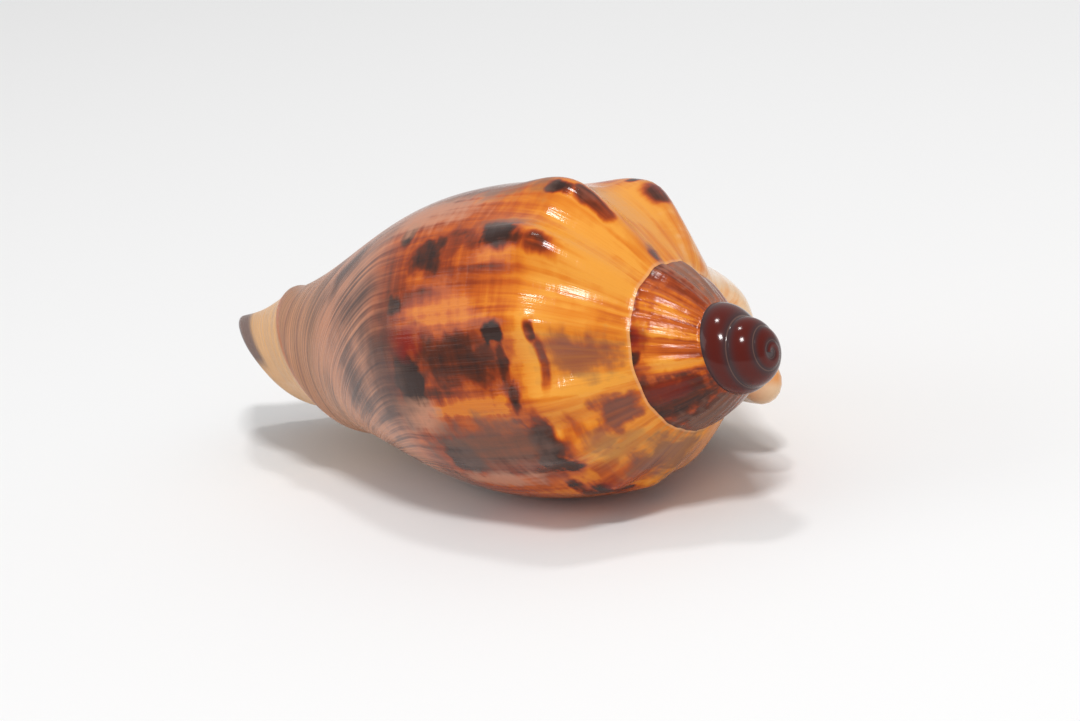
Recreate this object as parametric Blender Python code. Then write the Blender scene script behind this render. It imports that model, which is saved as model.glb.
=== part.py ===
# Volute shell: one grown piece, lying with its opening down.
# Metres, +Z up.  The spire points towards +X, the narrow front end towards -X.
import math

import bmesh
import bpy
import numpy as np
from mathutils import Matrix, Vector

MM = 0.001

# Growth.  A place on the shell is told by its turn (0 at the tip of the spire,
# LAST_TURN at the outer lip) and by its share across the whorl: on the slope from the
# seam (0) to the shoulder (1), and on the side from the shoulder (0) to the front end (1).
LAST_TURN = 4.53
STEPS_PER_TURN = 66
TURN_MARKS = (-2.0, -1.0, 0.0, 1.0, 2.0, 2.5, 3.0, 3.5, 3.75, 4.0, 4.25, 4.4, 4.55)
SHOULDER_RADIUS_MM = (0.12, 0.95, 2.5, 4.2, 5.1, 7.3, 9.4, 12.9, 14.3, 16.8, 21.2, 23.8, 25.6)
SHOULDER_DEPTH_MM = (-0.05, 0.05, 0.6, 3.2, 6.0, 9.5, 12.7, 16.4, 19.9, 22.8, 26.7, 28.2, 29.5)
TIP_RADIUS_MM = 0.3
TIP_DEPTH_MM = -0.05
TIP_TURN = -0.3
WHORL_HEIGHT_MM = 52.0
WHORL_HEIGHT_GROWTH = 0.31

# Side of the last whorl, as shares of the shoulder radius.
SIDE_MARKS = (0.0, 0.10, 0.25, 0.42, 0.60, 0.76, 0.88, 1.0)
SIDE_RADIUS = (1.0, 1.055, 1.065, 0.98, 0.77, 0.56, 0.435, 0.305)
SIDE_ROWS = (0.0, 0.035, 0.08, 0.13, 0.19, 0.26, 0.33, 0.40, 0.46, 0.51, 0.56, 0.61, 0.66, 0.71,
             0.76, 0.81, 0.845, 0.88, 0.94, 1.0)
CORNER_ROW = 2
SLOPE_STEPS = 4

# The slope swells on the smooth early whorls and is nearly straight later.
EARLY_SWELL = 0.13
LATE_SWELL = 0.04
SWELL_POWER = 0.7
SWELL_FADES_FROM = 2.3
SWELL_FADES_TURNS = 0.5

# Knobs on the shoulder.
KNOB_TURNS = (3.818, 3.899, 3.965, 4.049, 4.141, 4.227, 4.336, 4.440)
KNOB_HEIGHTS = (0.075, 0.08, 0.08, 0.085, 0.09, 0.10, 0.14, 0.10)
KNOB_HALF_LENGTH = 0.027
KNOB_REACH_UP = 0.36
KNOB_REACH_DOWN = 0.11
KNOB_LEAN = 0.10
KNOB_RISE = 0.25
KNOB_AT_SHOULDER = math.exp(-(KNOB_LEAN / KNOB_REACH_UP) ** 2)
EARLY_KNOB_SPACING = 0.075
EARLY_KNOB_HEIGHT = 0.03
EARLY_KNOBS_START = 2.6
EARLY_KNOBS_EASE_TURNS = 0.4

# Near the lip the slope rises beside the spire, as a wing.
WING_SWELL_MM = 1.3
WING_SWELL_STARTS = 4.28
WING_SWELL_EASE_TURNS = 0.1
WING_MM = 7.5
WING_STARTS = 4.38
WING_POWER = 1.3
WING_TOP_POWER = 0.6
WING_INSIDE = 0.85

# Ridge of the band that the front notch left behind as it grew.
BAND_RIDGE_AT = 0.84
BAND_RIDGE_WIDTH = 0.022
BAND_RIDGE_HEIGHT_MM = 0.6
BAND_RIDGE_STARTS = 3.3
BAND_RIDGE_EASE_TURNS = 0.5

# The front end curves to one side.
BEND_MM = 3.4
BEND_FROM_MM = 28.0
BEND_SCALE_MM = 51.0
BEND_TOWARDS_DEG = 73.0

# Wall and opening.
WALL_MM = 1.7
LIP_WALL_MM = 2.3
LIP_EASE_TURNS = 0.12
LIP_ROUNDING = 0.45
CAVITY_TURNS = 0.61
WALL_END_ROWS = 4

# Notch at the front end, from NOTCH_TURN to the lip.
NOTCH_TURN = 3.98
NOTCH_EASE_TURNS = 0.13
NOTCH_CORNER = 0.09
NOTCH_CORNER_TURNS = 0.14
BOTTOM_SHARE = 0.93
BOTTOM_WALLS = 1.5

# Pillar in the middle of the opening, with its folds.
PILLAR_TIP_MM = 75.4
PILLAR_TIP_RADIUS_MM = 1.6
PILLAR_TIP_CROWN_MM = 0.4
PILLAR_TAPER = 1.5
PILLAR_WAIST = 0.19
PILLAR_WAIST_END = 0.714
PILLAR_STEPS_ABOVE = 4
PILLAR_STEPS_BELOW = 3
TAIL_POWER = 3
FOLDS_AT = (0.51, 0.61, 0.71, 0.81)
FOLD_WIDTH = 0.025
FOLD_HEIGHT_MM = 1.0
FOLD_EASE_TURNS = 0.06

# How it lies: the side that faces the ground, and how far the spire rises.
GROUND_SIDE_DEG = 252.9
SPIRE_RISE_DEG = 9.2

COLOUR = (0.55, 0.24, 0.06, 1.0)
ROUGHNESS = 0.22

# Steps of growth at the main places, and how many rows a line has.
LAST = round(LAST_TURN * STEPS_PER_TURN)
FIRST_SIDE = LAST - STEPS_PER_TURN
NOTCH = round(NOTCH_TURN * STEPS_PER_TURN)
DEEPEST = round((LAST_TURN - CAVITY_TURNS) * STEPS_PER_TURN)
WALL_ROWS = SLOPE_STEPS + len(SIDE_ROWS)
PILLAR_STEPS = PILLAR_STEPS_ABOVE + PILLAR_STEPS_BELOW


def spline(xs, ys):
    """A smooth curve through the given marks, as a function."""
    xs = np.asarray(xs, float)
    ys = np.asarray(ys, float)
    count = len(xs)
    gap = np.diff(xs)
    rows = np.eye(count)
    right = np.zeros(count)
    for i in range(1, count - 1):
        rows[i, i - 1:i + 2] = gap[i - 1], 2 * (gap[i - 1] + gap[i]), gap[i]
        right[i] = 6 * ((ys[i + 1] - ys[i]) / gap[i] - (ys[i] - ys[i - 1]) / gap[i - 1])
    curve = np.linalg.solve(rows, right)

    def at(x):
        i = min(max(int(np.searchsorted(xs, x)) - 1, 0), count - 2)
        a = (xs[i + 1] - x) / gap[i]
        b = 1 - a
        bend = (a ** 3 - a) * curve[i] + (b ** 3 - b) * curve[i + 1]
        return float(a * ys[i] + b * ys[i + 1] + bend * gap[i] ** 2 / 6)

    return at


shoulder_radius = spline(TURN_MARKS, SHOULDER_RADIUS_MM)
shoulder_depth = spline(TURN_MARKS, SHOULDER_DEPTH_MM)
side_radius = spline(SIDE_MARKS, SIDE_RADIUS)


def ease(x):
    x = min(max(x, 0.0), 1.0)
    return x * x * (3 - 2 * x)


def between(first, second, share):
    return first[0] + (second[0] - first[0]) * share, first[1] + (second[1] - first[1]) * share


def knob(turn):
    """Height of the knobs at a turn, as a share of the shoulder radius."""
    height = 0.0
    for at, top in zip(KNOB_TURNS, KNOB_HEIGHTS):
        height = max(height, top * math.exp(-((turn - at) / KNOB_HALF_LENGTH) ** 2))
    if turn < KNOB_TURNS[0]:
        off = (KNOB_TURNS[0] - turn) / EARLY_KNOB_SPACING
        wave = 0.5 + 0.5 * math.cos(2 * math.pi * off)
        start = ease((turn - EARLY_KNOBS_START) / EARLY_KNOBS_EASE_TURNS)
        height = max(height, EARLY_KNOB_HEIGHT * start * wave)
    return height


def shoulder(turn):
    radius = shoulder_radius(turn)
    lump = knob(turn) * KNOB_AT_SHOULDER * radius
    return radius + lump, shoulder_depth(turn) - lump * KNOB_RISE


def wing(turn, share):
    """How far the slope rises towards the tip of the spire near the lip."""
    swell = WING_SWELL_MM * ease((turn - WING_SWELL_STARTS) / WING_SWELL_EASE_TURNS)
    flare = max(turn - WING_STARTS, 0) / (LAST_TURN - WING_STARTS)
    return (swell + WING_MM * flare ** WING_POWER) * math.sin(math.pi * share ** WING_TOP_POWER)


def slope_point(turn, share):
    """Radius and depth between the seam (share 0) and the shoulder (share 1)."""
    r0, d0 = shoulder(turn - 1)
    r1, d1 = shoulder_radius(turn), shoulder_depth(turn)
    length = math.hypot(r1 - r0, d1 - d0)
    late = ease((turn - SWELL_FADES_FROM) / SWELL_FADES_TURNS)
    wave = math.sin(math.pi * share)
    swell = (EARLY_SWELL * wave ** SWELL_POWER * (1 - late) + LATE_SWELL * wave * late) * length
    out_r, out_d = (d1 - d0) / length, -(r1 - r0) / length
    reach = math.exp(-((1 - share - KNOB_LEAN) / KNOB_REACH_UP) ** 2) * share ** 0.5
    lump = knob(turn) * r1 * reach
    radius = r0 + (r1 - r0) * share + out_r * swell + lump
    depth = d0 + (d1 - d0) * share + out_d * swell - lump * KNOB_RISE
    return radius, depth - wing(turn, share)


def side_point(turn, share):
    """Radius and depth on the side, from the shoulder (share 0) to the front end (share 1)."""
    height = WHORL_HEIGHT_MM * math.exp(WHORL_HEIGHT_GROWTH * (turn - 4))
    radius = shoulder_radius(turn)
    reach = math.exp(-(share / KNOB_REACH_DOWN) ** 2)
    lump = knob(turn) * KNOB_AT_SHOULDER * radius * reach
    ridge = BAND_RIDGE_HEIGHT_MM * math.exp(-((share - BAND_RIDGE_AT) / BAND_RIDGE_WIDTH) ** 2)
    ridge *= ease((turn - BAND_RIDGE_STARTS) / BAND_RIDGE_EASE_TURNS)
    depth = shoulder_depth(turn) + height * share - lump * KNOB_RISE
    return radius * side_radius(share) + lump + ridge, depth


def outer_column(turn):
    """Seam, slope, shoulder and side at one turn, down to the front end or the notch rim."""
    end = 1 - NOTCH_CORNER * ease((turn - LAST_TURN) / NOTCH_CORNER_TURNS + 1)
    column = [slope_point(turn, i / SLOPE_STEPS) for i in range(SLOPE_STEPS)]
    return column + [side_point(turn, end * share) for share in SIDE_ROWS]


def pillar_point(turn, step, steps=PILLAR_STEPS):
    """Radius and depth on the pillar, from the end of the side (step 0) to its tip."""
    r0, d0 = side_point(turn, 1)
    share = step / steps
    depth = d0 + (PILLAR_TIP_MM - d0) * share
    radius = PILLAR_TIP_RADIUS_MM + (r0 - PILLAR_TIP_RADIUS_MM) * (1 - share) ** PILLAR_TAPER
    return radius * (1 - PILLAR_WAIST * math.sin(math.pi * min(share / PILLAR_WAIST_END, 1))), depth


def tail_point(turn, step, bottom):
    """On the pillar inside the hollow, from the end of the side before down to the bottom."""
    r0, d0 = side_point(turn, 1)
    share = step / PILLAR_STEPS_ABOVE
    return r0 + (bottom[0] - r0) * share ** TAIL_POWER, d0 + (bottom[1] - d0) * share


def back_point(turn, share):
    """On the whorl before, inside the hollow, with the folds of the pillar."""
    r, d = side_point(turn - 1, share)
    fold = sum(math.exp(-((share - at) / FOLD_WIDTH) ** 2) for at in FOLDS_AT)
    return r + fold * FOLD_HEIGHT_MM * ease((LAST_TURN - turn) / FOLD_EASE_TURNS), d


def wall(turn):
    return WALL_MM + (LIP_WALL_MM - WALL_MM) * ease((turn - LAST_TURN) / LIP_EASE_TURNS + 1)


def inset(column, thickness):
    """The same line moved inwards by the wall."""
    moved = []
    for i, (r, d) in enumerate(column):
        r0, d0 = column[max(i - 1, 0)]
        r1, d1 = column[min(i + 1, len(column) - 1)]
        length = math.hypot(r1 - r0, d1 - d0)
        moved.append((r - (d1 - d0) / length * thickness, d + (r1 - r0) / length * thickness))
    return moved


def inner_line(turn, corner):
    """The inner face of the outer wall.  It starts at the corner by the seam."""
    line = inset(outer_column(turn), wall(turn))
    shoulder_inside = line[SLOPE_STEPS]
    for i in range(1, SLOPE_STEPS):
        r, d = between(corner, shoulder_inside, i / SLOPE_STEPS)
        line[i] = r, d - wing(turn, i / SLOPE_STEPS) * WING_INSIDE
    return line


def place(turn, radius, depth):
    """Local point of a radius and a depth at a turn, with the bend of the front end."""
    angle = 2 * math.pi * turn
    bend = BEND_MM * (max(depth - BEND_FROM_MM, 0) / BEND_SCALE_MM) ** 2
    towards = math.radians(BEND_TOWARDS_DEG)
    return Vector((radius * math.cos(angle) + bend * math.cos(towards),
                   radius * math.sin(angle) + bend * math.sin(towards), depth))


class Skin:
    """The points and faces of the shell in its own axes, in millimetres."""

    def __init__(self):
        self.points = []
        self.faces = []

    def add(self, point):
        self.points.append(point)
        return len(self.points) - 1

    def add_line(self, step, line):
        """Adds a line of radii and depths at a step of growth."""
        return [self.add(place(step / STEPS_PER_TURN, *point)) for point in line]

    def strip(self, first, second):
        """Joins two lines of points that run the same way."""
        for a0, a1, b0, b1 in zip(first, first[1:], second, second[1:]):
            face = list(dict.fromkeys((a0, a1, b1, b0)))
            if len(face) > 2:
                self.faces.append(face)

    def fan(self, middle, ring):
        for a, b in zip(ring, ring[1:] + ring[:1]):
            self.faces.append((middle, a, b))


def make_outside(skin):
    """The outer surface.  The seam of a whorl is the shoulder of the whorl one turn before."""
    seam = {}
    for j in range(STEPS_PER_TURN + 1):
        seam[j] = skin.add_line(j, [shoulder(j / STEPS_PER_TURN - 1)])[0]
    columns = {}
    for j in range(LAST + 1):
        line = outer_column(j / STEPS_PER_TURN)
        if j < FIRST_SIDE:
            line = line[:SLOPE_STEPS + 1]
        if j == 0:
            columns[j] = [seam[j]] + skin.add_line(j, line[1:-1]) + [seam[STEPS_PER_TURN]]
        else:
            columns[j] = [seam[j]] + skin.add_line(j, line[1:])
        seam[j + STEPS_PER_TURN] = columns[j][SLOPE_STEPS]
    for j in range(LAST):
        skin.strip(columns[j], columns[j + 1])
    rim = [seam[j] for j in range(STEPS_PER_TURN + 1)] + columns[0][SLOPE_STEPS - 1:0:-1]
    middle = skin.add(place(TIP_TURN, TIP_RADIUS_MM, TIP_DEPTH_MM))
    skin.fan(middle, rim)
    return columns


def make_pillar(skin, columns):
    """The pillar under the end of the side, from the lip round to the notch."""
    pillars = {}
    for j in range(FIRST_SIDE, NOTCH):
        line = [pillar_point(j / STEPS_PER_TURN, m) for m in range(1, PILLAR_STEPS + 1)]
        pillars[j] = [columns[j][-1]] + skin.add_line(j, line)
    notch_line = [pillar_point(NOTCH / STEPS_PER_TURN, m, PILLAR_STEPS_BELOW)
                  for m in range(1, PILLAR_STEPS_BELOW + 1)]
    pillars[NOTCH] = [columns[NOTCH][-1]] + skin.add_line(NOTCH, notch_line)
    for j in range(FIRST_SIDE, NOTCH - 1):
        skin.strip(pillars[j], pillars[j + 1])
    skin.strip(pillars[NOTCH - 1], [columns[NOTCH][-1]] * PILLAR_STEPS_ABOVE + pillars[NOTCH])
    return pillars


def closed_foot(turn, opened):
    """The deepest point of the hollow behind the notch, and the line that leads to it."""
    end = side_point(turn, 1)
    r, d = side_point(turn, BOTTOM_SHARE)
    bottom = between(end, (r - wall(turn) * BOTTOM_WALLS, d), opened)
    return bottom, [tail_point(turn - 1, m, bottom) for m in range(1, PILLAR_STEPS_ABOVE)]


def open_foot(turn, opened):
    """The pillar inside the hollow where the notch is open, above and below the notch."""
    mouth = side_point(NOTCH_TURN, 1)
    above = []
    for m in range(1, PILLAR_STEPS_ABOVE + 1):
        above.append(between(tail_point(turn - 1, m, mouth), pillar_point(turn - 1, m), opened))
    below = []
    for m in range(1, PILLAR_STEPS_BELOW + 1):
        first = pillar_point(NOTCH_TURN, m, PILLAR_STEPS_BELOW)
        then = pillar_point(turn - 1, PILLAR_STEPS_ABOVE + m)
        below.append(between(first, then, opened))
    return above, below


def hollow_ring(skin, j, columns, pillars):
    """One ring of the hollow: from the front end up the outer wall, over the corner by the
    seam, and down the whorl before and the pillar."""
    turn = j / STEPS_PER_TURN
    outer = outer_column(turn)
    back = [back_point(turn, share) for share in SIDE_ROWS[CORNER_ROW:]]
    line = inner_line(turn, back[0])
    opened = ease(abs(j - NOTCH) / (NOTCH_EASE_TURNS * STEPS_PER_TURN))
    closed = j <= NOTCH
    if closed:
        bottom, above = closed_foot(turn, opened)
        below = []
    else:
        above, below = open_foot(turn, opened)
    up = []
    for i in range(WALL_ROWS - 1, 0, -1):
        from_end = ease((WALL_ROWS - 1 - i) / WALL_END_ROWS)
        if closed:
            up.append(between(bottom, line[i], from_end))
        else:
            up.append(between(outer[i], line[i], opened + (1 - opened) * from_end))
    if j == NOTCH:
        ring = [columns[NOTCH][-1]] + skin.add_line(j, up[1:])
    else:
        ring = skin.add_line(j, up)
    if j == LAST:
        return ring + columns[FIRST_SIDE][SLOPE_STEPS + CORNER_ROW:] + pillars[FIRST_SIDE][1:]
    ring += skin.add_line(j, back + above)
    if closed:
        ring.append(ring[0])
    if j == NOTCH:
        ring += pillars[NOTCH][1:]
    return ring + skin.add_line(j, below)


def ladder(left, right):
    """Triangles between two lines that start at the same point."""
    made = []
    i = k = 0
    while i < len(left) - 1 or k < len(right) - 1:
        ahead = (i + 1) / (len(left) - 1) <= (k + 1) / (len(right) - 1)
        if k == len(right) - 1 or (ahead and i < len(left) - 1):
            made.append((left[i], left[i + 1], right[k]))
            i += 1
        else:
            made.append((left[i], right[k + 1], right[k]))
            k += 1
    return [face for face in made if len(set(face)) == 3]


def make_hollow(skin, columns, pillars):
    """The inside of the last part of the whorl, closed at its deep end."""
    rings = {}
    for j in range(DEEPEST, LAST + 1):
        rings[j] = hollow_ring(skin, j, columns, pillars)
    for j in range(DEEPEST, LAST):
        skin.strip(rings[j + 1], rings[j])
    deep = rings[DEEPEST]
    skin.faces += ladder(deep[:WALL_ROWS - 1], deep[:WALL_ROWS - 2:-1])
    return rings


def make_lip(skin, columns, rings):
    """The rounded edge of the opening and of the notch, between the outside and the hollow."""
    edge = []
    last_ring, ring_before = rings[LAST], rings[LAST - 1]
    for i in range(WALL_ROWS):
        at, behind = last_ring[WALL_ROWS - 1 - i], ring_before[WALL_ROWS - 1 - i]
        edge.append((columns[LAST][i], at, columns[LAST - 1][i], behind))
    edge[-1] = (columns[LAST][-1], last_ring[0], columns[LAST - 1][-2], ring_before[1])
    for j in range(LAST - 1, NOTCH - 1, -1):
        edge.append((columns[j][-1], rings[j][0], columns[j][-2], rings[j][1]))
    rounded = [columns[LAST][0]]
    for ids in edge[1:-1]:
        a, b, behind_a, behind_b = [skin.points[i] for i in ids]
        away = (a + b - behind_a - behind_b).normalized()
        rounded.append(skin.add((a + b) / 2 + away * (a - b).length * LIP_ROUNDING))
    rounded.append(columns[NOTCH][-1])
    for k in range(1, len(edge) - 1):
        skin.strip((edge[k][0], rounded[k], edge[k][1]),
                   (edge[k + 1][0], rounded[k + 1], edge[k + 1][1]))
    seam_side = columns[FIRST_SIDE][SLOPE_STEPS:SLOPE_STEPS + CORNER_ROW + 1]
    corner = [edge[1][0]] + seam_side + [edge[1][1]]
    skin.faces += [(a, b, rounded[1]) for a, b in zip(corner, corner[1:])]


def make_pillar_tip(skin, pillars, rings):
    ring = [pillars[j][-1] for j in range(FIRST_SIDE, NOTCH + 1)]
    ring += [rings[j][-1] for j in range(NOTCH + 1, LAST)]
    middle = sum((skin.points[k] for k in ring), Vector()) / len(ring)
    skin.fan(skin.add(middle + Vector((0, 0, PILLAR_TIP_CROWN_MM))), ring)


def build_local():
    """All points and faces of the shell in its own axes."""
    skin = Skin()
    columns = make_outside(skin)
    pillars = make_pillar(skin, columns)
    rings = make_hollow(skin, columns, pillars)
    make_lip(skin, columns, rings)
    make_pillar_tip(skin, pillars, rings)
    return skin.points, skin.faces


def material():
    made = bpy.data.materials.new("glossy shell")
    made.use_nodes = True
    shader = made.node_tree.nodes["Principled BSDF"]
    shader.inputs["Base Color"].default_value = COLOUR
    shader.inputs["Roughness"].default_value = ROUGHNESS
    shader.inputs["Metallic"].default_value = 0.0
    return made


def lying(points):
    """Turns the shell onto its opening and sets it on the ground, centred on the origin."""
    side = math.radians(GROUND_SIDE_DEG)
    rise = math.radians(SPIRE_RISE_DEG)
    up = -Vector((math.cos(rise) * math.cos(side), math.cos(rise) * math.sin(side), math.sin(rise)))
    spire = Vector((0, 0, -1))
    along = (spire - up * spire.dot(up)).normalized()
    turn = Matrix((along, up.cross(along), up))
    turned = [turn @ p for p in points]
    low = Vector([min(p[axis] for p in turned) for axis in range(3)])
    high = Vector([max(p[axis] for p in turned) for axis in range(3)])
    origin = Vector(((low.x + high.x) / 2, (low.y + high.y) / 2, low.z))
    return [(p - origin) * MM for p in turned]


def build_shell():
    points, faces = build_local()
    mesh = bpy.data.meshes.new("shell")
    mesh.from_pydata(lying(points), [], faces)
    obj = bpy.data.objects.new("shell", mesh)
    bpy.context.scene.collection.objects.link(obj)
    mesh.materials.append(material())
    body = bmesh.new()
    body.from_mesh(mesh)
    loose = [v for v in body.verts if not v.link_faces]
    bmesh.ops.delete(body, geom=loose, context="VERTS")
    bmesh.ops.triangulate(body, faces=body.faces[:])
    bmesh.ops.recalc_face_normals(body, faces=body.faces[:])
    body.to_mesh(mesh)
    body.free()
    return obj


for old in list(bpy.data.objects):
    bpy.data.objects.remove(old, do_unlink=True)
build_shell()
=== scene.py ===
# Volute shell: the grown shell as a fine mesh, its colours, a pale floor and soft studio light.
import math

import bmesh
import bpy
import numpy as np
from mathutils import Matrix, Vector


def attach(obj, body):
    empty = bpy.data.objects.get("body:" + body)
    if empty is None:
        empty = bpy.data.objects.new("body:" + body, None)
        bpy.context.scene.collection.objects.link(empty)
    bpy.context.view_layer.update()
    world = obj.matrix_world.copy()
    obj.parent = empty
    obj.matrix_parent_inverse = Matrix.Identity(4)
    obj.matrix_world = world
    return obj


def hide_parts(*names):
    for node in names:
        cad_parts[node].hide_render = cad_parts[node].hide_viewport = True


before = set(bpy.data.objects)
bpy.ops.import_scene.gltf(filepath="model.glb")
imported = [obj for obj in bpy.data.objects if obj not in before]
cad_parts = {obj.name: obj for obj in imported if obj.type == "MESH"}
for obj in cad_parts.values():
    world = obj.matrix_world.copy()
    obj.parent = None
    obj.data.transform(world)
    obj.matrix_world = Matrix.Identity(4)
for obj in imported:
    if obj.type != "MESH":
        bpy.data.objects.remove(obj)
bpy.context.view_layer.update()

MM = 0.001
# The fine mesh is rounder than the solid, so it is made this much smaller to stay inside it.
FITTED = 0.992

# Growth, as in the solid. A place on the shell is told by its turn (0 at the tip of the
# spire, LAST_TURN at the lip) and by its share across the whorl.
START_TURN = -1
LAST_TURN = 4.53
STEPS_PER_TURN = 240
SPIRE_TIP_TURN = -1.30
SPIRE_TIP_MM = (0.2, -0.02)
TURN_MARKS = (-2.0, -1.0, 0.0, 1.0, 2.0, 2.5, 3.0, 3.5, 3.75, 4.0, 4.25, 4.4, 4.55)
SHOULDER_RADIUS_MM = (0.12, 0.95, 2.5, 4.2, 5.1, 7.3, 9.4, 12.9, 14.3, 16.8, 21.2, 23.8, 25.6)
SHOULDER_DEPTH_MM = (-0.05, 0.05, 0.6, 3.2, 6.0, 9.5, 12.7, 16.4, 19.9, 22.8, 26.7, 28.2, 29.5)
WHORL_HEIGHT_MM = 52.0
WHORL_HEIGHT_TURN = 4
WHORL_HEIGHT_GROWTH = 0.31
SIDE_MARKS = (0.0, 0.10, 0.25, 0.42, 0.60, 0.76, 0.87, 0.94, 1.0)
SIDE_RADIUS = (1.0, 1.055, 1.065, 0.98, 0.77, 0.56, 0.44, 0.350, 0.305)
SLOPE_STEPS = 16
EARLY_SWELL = 0.13
LATE_SWELL = 0.04
SWELL_POWER = 0.7
SMOOTH_WHORLS_END = 2.6
SWELL_CHANGE_STARTS = 2.3
SWELL_CHANGE_TURNS = 0.5

# Knobs on the shoulder.
KNOB_TURNS = (3.818, 3.899, 3.965, 4.049, 4.141, 4.227, 4.336, 4.440)
KNOB_HEIGHTS = (0.075, 0.09, 0.10, 0.105, 0.105, 0.10, 0.14, 0.10)
KNOB_HALF_LENGTH = 0.025
KNOB_REACH_UP = 0.36
KNOB_REACH_DOWN = 0.11
KNOB_LEAN = 0.10
KNOB_RISE = 0.25
KNOB_AT_SHOULDER = math.exp(-(KNOB_LEAN / KNOB_REACH_UP) ** 2)
KNOB_RIDGE = 0.45
EARLY_KNOB_SPACING = 0.075
EARLY_KNOB_HEIGHT = 0.03
EARLY_KNOBS_GROW_TURNS = 0.4

# Near the lip the slope rises beside the spire, as a wing.
WING_SWELL_MM = 1.3
WING_SWELL_STARTS = 4.28
WING_SWELL_TURNS = 0.1
WING_MM = 7.5
WING_STARTS = 4.38
WING_POWER = 1.3
WING_CREST_POWER = 0.6
WING_INSIDE = 0.85

# Ridge of the band that the front notch left behind as it grew.
BAND_RIDGE_AT = 0.84
BAND_RIDGE_WIDTH = 0.022
BAND_RIDGE_HEIGHT_MM = 0.6
BAND_RIDGE_STARTS = 3.3
BAND_RIDGE_GROWS_TURNS = 0.5

# Opening, wall and pillar.
WALL_MM = 1.7
LIP_WALL_MM = 2.3
LIP_THICKENS_TURNS = 0.12
CAVITY_TURNS = 0.61
CAVITY_BOTTOM_SHARE = 0.93
CAVITY_BOTTOM_WALLS = 1.5
NOTCH_TURN = 3.98
NOTCH_CORNER = 0.09
NOTCH_CORNER_TURNS = 0.14
NOTCH_EASE_TURNS = 0.13
WALL_END_SHARE = 0.19
INNER_SMOOTHING = 40
PILLAR_TIP_MM = 75.4
PILLAR_TIP_RADIUS_MM = 1.6
PILLAR_TIP_DOME_MM = 0.4
PILLAR_TAPER_POWER = 1.5
PILLAR_WAIST = 0.19
PILLAR_WAIST_WAVE = 1.4
PILLAR_STEPS_ABOVE = 12
PILLAR_STEPS_BELOW = 9
PILLAR_STEPS = PILLAR_STEPS_ABOVE + PILLAR_STEPS_BELOW
FOLDS_AT = (0.51, 0.61, 0.71, 0.81)
FOLD_WIDTH = 0.022
FOLD_HEIGHT_MM = 1.0
FOLD_EASE_TURNS = 0.06

# Fine ribs across the whorl before the last one.
RIBS_PER_TURN = 34
RIB_DEPTH_MM = 0.14
RIBS_START = 2.6
RIBS_END = 3.45
RIBS_EASE_TURNS = 0.3

# The front end curves to one side, and the shell lies on its opening.
BEND_MM = 3.4
BEND_FROM_MM = 28.0
BEND_SCALE_MM = 51.0
BEND_TOWARDS_DEG = 73.0
GROUND_SIDE_DEG = 252.9
SPIRE_RISE_DEG = 9.2


class Field:
    """A number in a node tree. Operators on it add Math nodes."""

    def __init__(self, tree, socket):
        self.tree = tree
        self.socket = socket

    def node(self, kind, inputs=(), **settings):
        """Adds a node, sets its settings and then its inputs, given by name or number."""
        made = self.tree.nodes.new(kind)
        for name, value in settings.items():
            setattr(made, name, value)
        for name, value in dict(inputs).items():
            plug(self.tree, made.inputs[name], value)
        return made

    def math(self, operation, *values):
        made = self.node("ShaderNodeMath", enumerate(values), operation=operation)
        return Field(self.tree, made.outputs[0])

    def __add__(self, other):
        return self.math("ADD", self, other)

    def __sub__(self, other):
        return self.math("SUBTRACT", self, other)

    def __mul__(self, other):
        return self.math("MULTIPLY", self, other)

    def __truediv__(self, other):
        return self.math("DIVIDE", self, other)

    def __pow__(self, other):
        return self.math("POWER", self, other)

    def __radd__(self, other):
        return self.math("ADD", other, self)

    def __rsub__(self, other):
        return self.math("SUBTRACT", other, self)

    def __rmul__(self, other):
        return self.math("MULTIPLY", other, self)

    def __neg__(self):
        return self.math("MULTIPLY", self, -1.0)

    def clamp(self):
        return self.math("MAXIMUM", self.math("MINIMUM", self, 1.0), 0.0)

    def ramp(self, low, high):
        """0 below low and 1 above high, with a smooth step between them."""
        made = self.node("ShaderNodeMapRange", {"Value": self, "From Min": low, "From Max": high},
                         interpolation_type="SMOOTHSTEP")
        return Field(self.tree, made.outputs[0])

    def bump(self, centre, width):
        """1 at the centre, falling off smoothly over the width."""
        return self.math("EXPONENT", -(((self - centre) / width) ** 2.0))


def plug(tree, socket, value):
    """Gives an input a constant or a link."""
    if isinstance(value, Field):
        tree.links.new(value.socket, socket)
    elif isinstance(value, bpy.types.NodeSocket):
        tree.links.new(value, socket)
    else:
        socket.default_value = value


def spline(xs, ys):
    """A smooth curve through the given marks, as a function."""
    xs = np.asarray(xs, float)
    ys = np.asarray(ys, float)
    count = len(xs)
    gap = np.diff(xs)
    rows = np.eye(count)
    right = np.zeros(count)
    for i in range(1, count - 1):
        rows[i, i - 1:i + 2] = gap[i - 1], 2 * (gap[i - 1] + gap[i]), gap[i]
        right[i] = 6 * ((ys[i + 1] - ys[i]) / gap[i] - (ys[i] - ys[i - 1]) / gap[i - 1])
    curve = np.linalg.solve(rows, right)

    def at(x):
        i = min(max(int(np.searchsorted(xs, x)) - 1, 0), count - 2)
        a = (xs[i + 1] - x) / gap[i]
        b = 1 - a
        bend = (a ** 3 - a) * curve[i] + (b ** 3 - b) * curve[i + 1]
        return float(a * ys[i] + b * ys[i + 1] + bend * gap[i] ** 2 / 6)

    return at


shoulder_radius = spline(TURN_MARKS, SHOULDER_RADIUS_MM)
shoulder_depth = spline(TURN_MARKS, SHOULDER_DEPTH_MM)
side_radius = spline(SIDE_MARKS, SIDE_RADIUS)


def ease(x):
    x = min(max(x, 0.0), 1.0)
    return x * x * (3 - 2 * x)


def between(first, second, share):
    return first[0] + (second[0] - first[0]) * share, first[1] + (second[1] - first[1]) * share


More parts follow.
